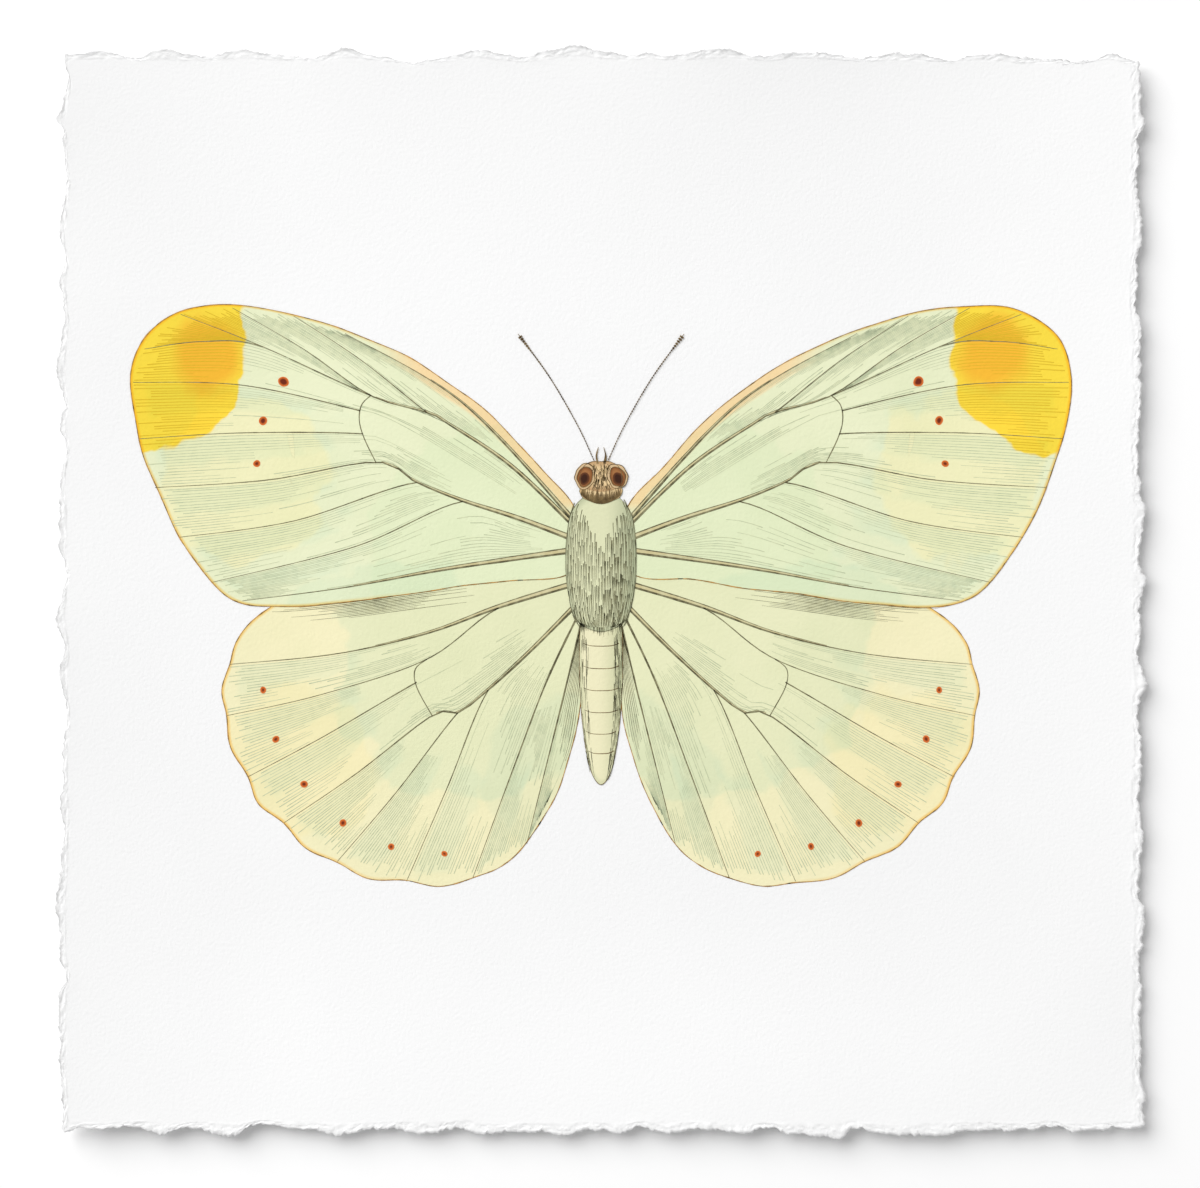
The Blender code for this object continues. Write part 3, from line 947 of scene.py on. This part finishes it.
def body_wash(name, ground, shadow, shading, rim_reach=1.8, rim_share=0.6):
    """A colour that darkens towards its edge and from one place in X to another."""
    material = bpy.data.materials.new(name)
    nodes, links, shader, place, _ = paper_tooth(material)
    split = nodes.new("ShaderNodeSeparateXYZ")
    links.new(place.outputs["Object"], split.inputs["Vector"])
    shade_from, shade_to = shading
    away = fade_between(nodes, links, split.outputs["X"], shade_from * MM, shade_to * MM)
    rim = fade_between(nodes, links, mesh_value(nodes, "inset"), rim_reach * MM, 0.05 * MM)
    rim = math_node(nodes, links, "MULTIPLY", rim, rim_share)
    tone = nodes.new("ShaderNodeMixRGB")
    links.new(math_node(nodes, links, "MAXIMUM", rim, away), tone.inputs["Fac"])
    tone.inputs["Color1"].default_value = ground
    tone.inputs["Color2"].default_value = shadow
    links.new(tone.outputs["Color"], shader.inputs["Base Color"])
    return material


def half_width(outline, y):
    """How far a body part reaches from its midline at this height in the picture."""
    return max(abs(spot.x) for spot in outline if abs(spot.y - y) < 1.2 * MM)


def along_body(outline, side, top, length):
    """A path down a body part that keeps to this share of its half width."""
    levels = [top - length * step / 5 for step in range(6)]
    low = min(spot.y for spot in outline) + 0.8 * MM
    return [Vector((side * half_width(outline, max(level, low)), max(level, low)))
            for level in levels]


thorax, abdomen, collar, head = (body_outline(half)
                                 for half in (THORAX, ABDOMEN, COLLAR, HEAD))
for name, outline, middle, height, wash in (
        ("abdomen_wash", abdomen, (0, -20), ABDOMEN_HEIGHT,
         body_wash("abdomen_watercolour", paint(240, 235, 195), paint(198, 202, 160), (-1, 5))),
        ("thorax_wash", thorax, (0, 6), THORAX_HEIGHT,
         body_wash("thorax_watercolour", paint(224, 226, 186), paint(168, 176, 142), (0, 8))),
        ("collar_wash", collar, (0, 19.4), COLLAR_HEIGHT,
         body_wash("collar_watercolour", paint(234, 206, 156), paint(184, 146, 100), (1, 9))),
        ("head_wash", head, (0, 22.6), HEAD_HEIGHT,
         body_wash("head_watercolour", paint(238, 208, 158), paint(160, 112, 70), (1, 9)))):
    bm = bmesh.new()
    add_wash(bm, outline, *spots_of([middle]), height)
    lay_film(name, bm, wash)

# Each layer of an eye: its half width and half height, how far it sits outside and below
# the eye's middle, how high it lies over the head, and its colour
EYES = (
    ("eye_rims", 1.95, 2.55, 0.0, 0.0, 0.008,
     body_wash("eye_rim_watercolour", paint(244, 224, 184), paint(190, 148, 100), (2, 9))),
    ("irises", 1.48, 2.02, 0.05, 0.12, 0.016,
     body_wash("iris_watercolour", paint(164, 112, 68), paint(128, 80, 46), (2, 9), 0.8, 0.9)),
    ("pupils", 1.02, 1.28, 0.16, 0.45, 0.024,
     body_wash("pupil_watercolour", paint(64, 38, 26), paint(104, 64, 40), UNSHADED, 0.6, 1.0)),
)


def eye_outline(layer, hand):
    """The outline of one layer of an eye, and its centre."""
    _, across, along, outside, below, *_ = layer
    centre = spots_of([(EYE_PLACE[0] + outside, EYE_PLACE[1] - below)], hand)[0]
    return ellipse(centre, across, along, hand * EYE_TILT), centre


for layer in EYES:
    name, *_, rise, wash = layer
    bm = bmesh.new()
    for hand in (1, -1):
        add_wash(bm, *eye_outline(layer, hand), HEAD_HEIGHT + rise * MM)
    lay_film(name, bm, wash)


def hair(x, y, lean, rise, start, end):
    """A short straight hair from its root, all in millimetres."""
    root = Vector((x, y)) * MM
    tip = root + Vector((lean, rise)) * MM
    return stroke([root, root.lerp(tip, 0.5), tip], start, end)


chance = random.Random(11)
hair_ink = ink("hair_ink", paint(92, 92, 68), paint(138, 136, 104))
body_ink = ink("body_ink", paint(90, 72, 46), paint(138, 116, 78))

shading, drawn = [], [stroke(abdomen + abdomen[:1], 0.12, 0.12, 0.5)]
for _ in range(ABDOMEN_HAIRS):
    side = chance.choice((-1, 1, 1)) * chance.uniform(0.60, 0.98)
    top = chance.uniform(-34, -7)
    length = chance.uniform(1.5, 4.5) * MM
    shading.append(stroke(along_body(abdomen, side, top * MM, length), 0.10, 0.04))
for joint in ABDOMEN_JOINTS:
    half = half_width(abdomen, joint * MM) / MM * 0.84
    arc = [(-half, joint + 0.5), (-half * 0.5, joint), (half * 0.5, joint), (half, joint + 0.5)]
    drawn.append(stroke(smooth(spots_of(arc), 5), 0.08, 0.20))
print_lines("abdomen_shading", shading, ABDOMEN_HEIGHT + INK_OVER_WASH, hair_ink)
print_lines("abdomen_lines", drawn, ABDOMEN_HEIGHT + INK_OVER_WASH, body_ink)

hairs = []
for lane in range(-HAIR_LANES, HAIR_LANES + 1):
    share = lane / (HAIR_LANES + 0.8)
    # The neck's middle is bare, so the lanes there start lower
    top = 18.6 - 9.0 * (1 - abs(share)) ** 1.5 - chance.uniform(0, 3.5)
    while top > -6.2:
        shaded = chance.uniform(-0.15, 0.15) < share < 0.7 and top < chance.uniform(6, 12)
        length = chance.uniform(2.6, 7.0)
        side = share + chance.uniform(-0.012, 0.012)
        hairs.append(stroke(along_body(thorax, side, top * MM, length * MM),
                            0.27 if shaded else 0.18, 0.05))
        top -= length * 0.8 + chance.uniform(0.0, 0.6 if shaded else 2.2 * (1.1 - abs(share)))
for _ in range(WAIST_HAIRS):
    side = chance.uniform(-0.9, 0.9)
    hairs.append(hair(side * 4.6, -5.6 - 1.2 * (1 - side * side), 0.2 * side,
                      -chance.uniform(0.7, 1.8), 0.11, 0.03))
print_lines("thorax_hairs", hairs, THORAX_HEIGHT + INK_OVER_WASH, hair_ink)
print_lines("thorax_outline", [stroke(thorax + thorax[:1], 0.10, 0.10, 0.6),
                               stroke(collar + collar[:1], 0.20, 0.20, 0.5)],
            THORAX_HEIGHT + INK_OVER_WASH, hair_ink)

# The fringe's hairs end at uneven heights over the head, whose lower edge isn't drawn
fringe = []
for lane in range(-FRINGE_LANES, FRINGE_LANES + 1):
    side = lane / (FRINGE_LANES + 0.5)
    rise = 3.0 + chance.uniform(-1.3, 0.9) - 1.4 * side * side
    fringe.append(hair(side * 4.0, 17.3 + 1.9 * side * side, -0.3 * side, rise, 0.22, 0.05))
print_lines("collar_fringe", fringe, HEAD_HEIGHT + INK_OVER_WASH / 2, body_ink)

side_of_head = len(head) * 2 // 5
drawn = [stroke(head[-side_of_head:] + head[:side_of_head + 1], 0.11, 0.11, 0.5)]
for _ in range(FACE_HAIRS):
    rise = chance.uniform(-2.4, 2.5)
    side = chance.uniform(-1, 1) * (0.9 + 0.35 * abs(rise))
    drawn.append(hair(side, EYE_PLACE[1] + rise, 0.3 * side, -chance.uniform(0.6, 1.4),
                      0.10, 0.04))
for hand in (1, -1):
    for layer in EYES[:2]:
        rim, _ = eye_outline(layer, hand)
        drawn.append(stroke(rim + rim[:1], 0.15, 0.15, 0.4))
    palp = spots_of([(0.65, 25.2), (0.9, 26.8), (0.5, 28.4)], hand)
    drawn.append(stroke(smooth(palp, 5), 0.5, 0.08))
    feeler = resample(smooth(spots_of(ANTENNA, hand), 20), FEELER_STEPS + 1)
    drawn.append(stroke(feeler[::4], 0.08, 0.11))
    for bead in range(2, FEELER_STEPS - 4, 3):
        share = bead / FEELER_STEPS
        swell = max(0.0, (share - CLUB_START) / (1 - CLUB_START)) ** 0.7
        wide = 0.20 + 0.10 * share + 0.62 * swell
        drawn.append(stroke(feeler[bead:bead + 3], wide, wide * 0.9, 0.15))
print_lines("head_and_antennae", drawn, HEAD_HEIGHT + 3 * INK_OVER_WASH, body_ink)

# Wing spots
# Small round dots of watercolour, dark in the middle: three inside each yellow tip and a
# row along each hindwing's margin.
SPOTS = (
    (62, 41.2, 0.95), (66, 33.6, 0.8), (67.2, 25.2, 0.65),
    (66, -19, 0.6), (63.5, -28.6, 0.65), (58, -37.4, 0.65), (50.4, -45, 0.65),
    (41, -49.6, 0.6), (30.6, -51, 0.55),
)
bm = bmesh.new()
for hand in (1, -1):
    for x, y, radius in SPOTS:
        centre = spots_of([(x, y)], hand)[0]
        outline = ellipse(centre, radius, radius * 1.15, hand * x, 20)
        add_wash(bm, outline, centre, FOREWING_INK_HEIGHT + INK_OVER_WASH)
lay_film("wing_spots", bm, body_wash("spot_watercolour", paint(112, 44, 26),
                                     paint(224, 116, 54), UNSHADED, 0.6, 1.0))

# Table top
# The plain white surface under the sheet. It isn't part of the print, and lies just clear
# of its back.
TABLE_HALF = 3.0
TABLE_CLEARANCE = 0.05 * MM
bm = bmesh.new()
bmesh.ops.create_grid(bm, x_segments=1, y_segments=1, size=TABLE_HALF)
bmesh.ops.translate(bm, verts=bm.verts, vec=(0, 0, -TABLE_CLEARANCE))
material = bpy.data.materials.new("white_table")
material.use_nodes = True
shader = material.node_tree.nodes["Principled BSDF"]
shader.inputs["Base Color"].default_value = (0.98, 0.98, 0.98, 1)
shader.inputs["Roughness"].default_value = 1.0
shader.inputs["Specular IOR Level"].default_value = 0.0
table_top = set_out("table_top", bm, material)

# Studio light and camera
# One broad soft light from the upper left, over a pale surround that is brightest at the
# horizon, and a long lens that looks straight down on the sheet.
KEY_ELEVATION = math.radians(42)
KEY_AZIMUTH = math.radians(135)
KEY_DISTANCE = 3.0
KEY_SIZE = 3.0
KEY_POWER = 102.0
SURROUND_LOW = 1.0
SURROUND_HIGH = 0.385

key_data = bpy.data.lights.new("key_light", "AREA")
key_data.shape = "DISK"
key_data.size = KEY_SIZE
key_data.energy = KEY_POWER
key_light = bpy.data.objects.new("key_light", key_data)
toward = Vector((math.cos(KEY_AZIMUTH) * math.cos(KEY_ELEVATION),
                 math.sin(KEY_AZIMUTH) * math.cos(KEY_ELEVATION),
                 math.sin(KEY_ELEVATION)))
key_light.location = toward * KEY_DISTANCE
key_light.rotation_mode = "QUATERNION"
key_light.rotation_quaternion = toward.to_track_quat("Z", "Y")
bpy.context.scene.collection.objects.link(key_light)

world = bpy.data.worlds.new("studio_surround")
world.use_nodes = True
bpy.context.scene.world = world
nodes, links = world.node_tree.nodes, world.node_tree.links
direction = nodes.new("ShaderNodeTexCoord")
split = nodes.new("ShaderNodeSeparateXYZ")
links.new(direction.outputs["Generated"], split.inputs["Vector"])
surround = two_tones(nodes, links, split.outputs["Z"], (0.10, (SURROUND_LOW,) * 3 + (1,)),
                     (0.45, (SURROUND_HIGH,) * 3 + (1,)))
links.new(surround, nodes["Background"].inputs["Color"])

LENS = 120.0
SENSOR = 36.0
VIEW_WIDTH = 234.4 * MM
VIEW_OFFSET = Vector((-0.2 * MM, -0.27 * MM, PAPER_THICKNESS))
camera_data = bpy.data.cameras.new("camera")
camera_data.lens = LENS
camera_data.sensor_width = SENSOR
camera = bpy.data.objects.new("camera", camera_data)
camera.location = VIEW_OFFSET + Vector((0, 0, VIEW_WIDTH / SENSOR * LENS))
bpy.context.scene.collection.objects.link(camera)
bpy.context.scene.camera = camera
bpy.context.scene.view_settings.view_transform = "Standard"
